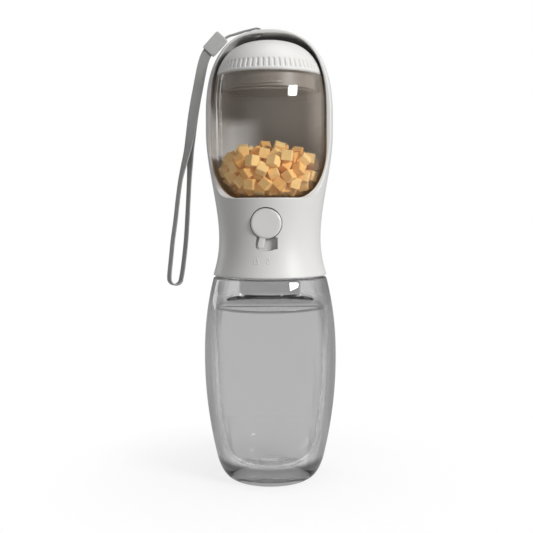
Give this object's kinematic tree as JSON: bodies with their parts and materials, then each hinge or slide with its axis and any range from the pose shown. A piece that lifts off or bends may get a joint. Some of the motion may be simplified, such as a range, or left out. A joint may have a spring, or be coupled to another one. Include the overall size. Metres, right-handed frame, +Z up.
{
  "type": "dog travel water bottle",
  "caption": "Travel water bottle for a dog: clear bottle, screw-on drinking head with push valve and turn lock, lift-out treat cup with lid, carrying strap.",
  "frame": {"origin": "centre of the ring that the bottle stands on, on the ground", "axes": "+Z up along the bottle's axis, -Y towards the open front with the button, +X to the right seen from the front"},
  "size_m": [0.0955, 0.075, 0.2544],
  "materials": {
    "clear_bottle": "clear, polished",
    "water": "clear water",
    "pale_rubber": "soft, satin",
    "housing": "fine satin moulding",
    "inner_plastic": "plain moulding",
    "steel": "plain",
    "grey_rubber": "satin",
    "button": "fine satin moulding",
    "smoky_cup": "smoky clear, polished",
    "treats": "dry baked crumb",
    "lid": "fine satin moulding",
    "string": "thin braided string",
    "slider": "woven relief",
    "webbing": "fine woven webbing"
  },
  "bodies": {
    "bottle": {"bottle": "clear_bottle", "water": "water"},
    "neck_ring": {"neck_gasket": "pale_rubber"},
    "head": {"trough_housing": "housing", "thread_socket": "inner_plastic", "socket_screws": "steel", "valve_body": "inner_plastic", "spring_cap": "inner_plastic", "outlet_seal": "grey_rubber", "inlet_seal": "grey_rubber", "return_spring": "steel", "strap_string": "string", "strap_slider": "slider", "strap_loop": "webbing"},
    "plunger": {"valve_stem": "inner_plastic", "stem_ring": "grey_rubber", "poppet_seal": "grey_rubber"},
    "button": {"button_cap": "button", "button_clip": "steel"},
    "cup": {"treat_cup": "smoky_cup", "treats": "treats"},
    "lid_ring": {"lid_seal": "grey_rubber"},
    "lid": {"treat_lid": "lid", "lid_plug": "inner_plastic"}
  },
  "joints": [
    {"name": "head_lift", "type": "slide", "parent": "bottle", "child": "neck_ring", "axis": [0, 0, 1], "range_m": [0, 0.005]},
    {"name": "head_turn", "type": "hinge", "parent": "neck_ring", "child": "head", "pos_m": [0, 0, 0.115], "axis": [0, 0, 1], "range_deg": [0, 450.1]},
    {"name": "button_press", "type": "slide", "parent": "head", "child": "plunger", "axis": [0, 1, 0], "range_m": [0, 0.002], "stiffness_N_per_m": 400, "springref_m": -0.002, "deforming": ["return_spring"]},
    {"name": "button_turn", "type": "hinge", "parent": "plunger", "child": "button", "pos_m": [0, 0, 0.1455], "axis": [0, -1, 0], "range_deg": [0, 28]},
    {"name": "cup_pull", "type": "slide", "parent": "head", "child": "cup", "axis": [0, -1, 0], "range_m": [0, 0.07]},
    {"name": "lid_lift", "type": "slide", "parent": "cup", "child": "lid_ring", "axis": [0, 0, 1], "range_m": [0, 0.001]},
    {"name": "lid_turn", "type": "hinge", "parent": "lid_ring", "child": "lid", "pos_m": [0, 0, 0.2278], "axis": [0, 0, 1], "range_deg": [0, 60.05]}
  ],
  "couplings": [
    {"joint": "head_turn", "follows": "head_lift", "rad_per_m": 1570.8},
    {"joint": "lid_turn", "follows": "lid_lift", "rad_per_m": 1047.2}
  ]
}
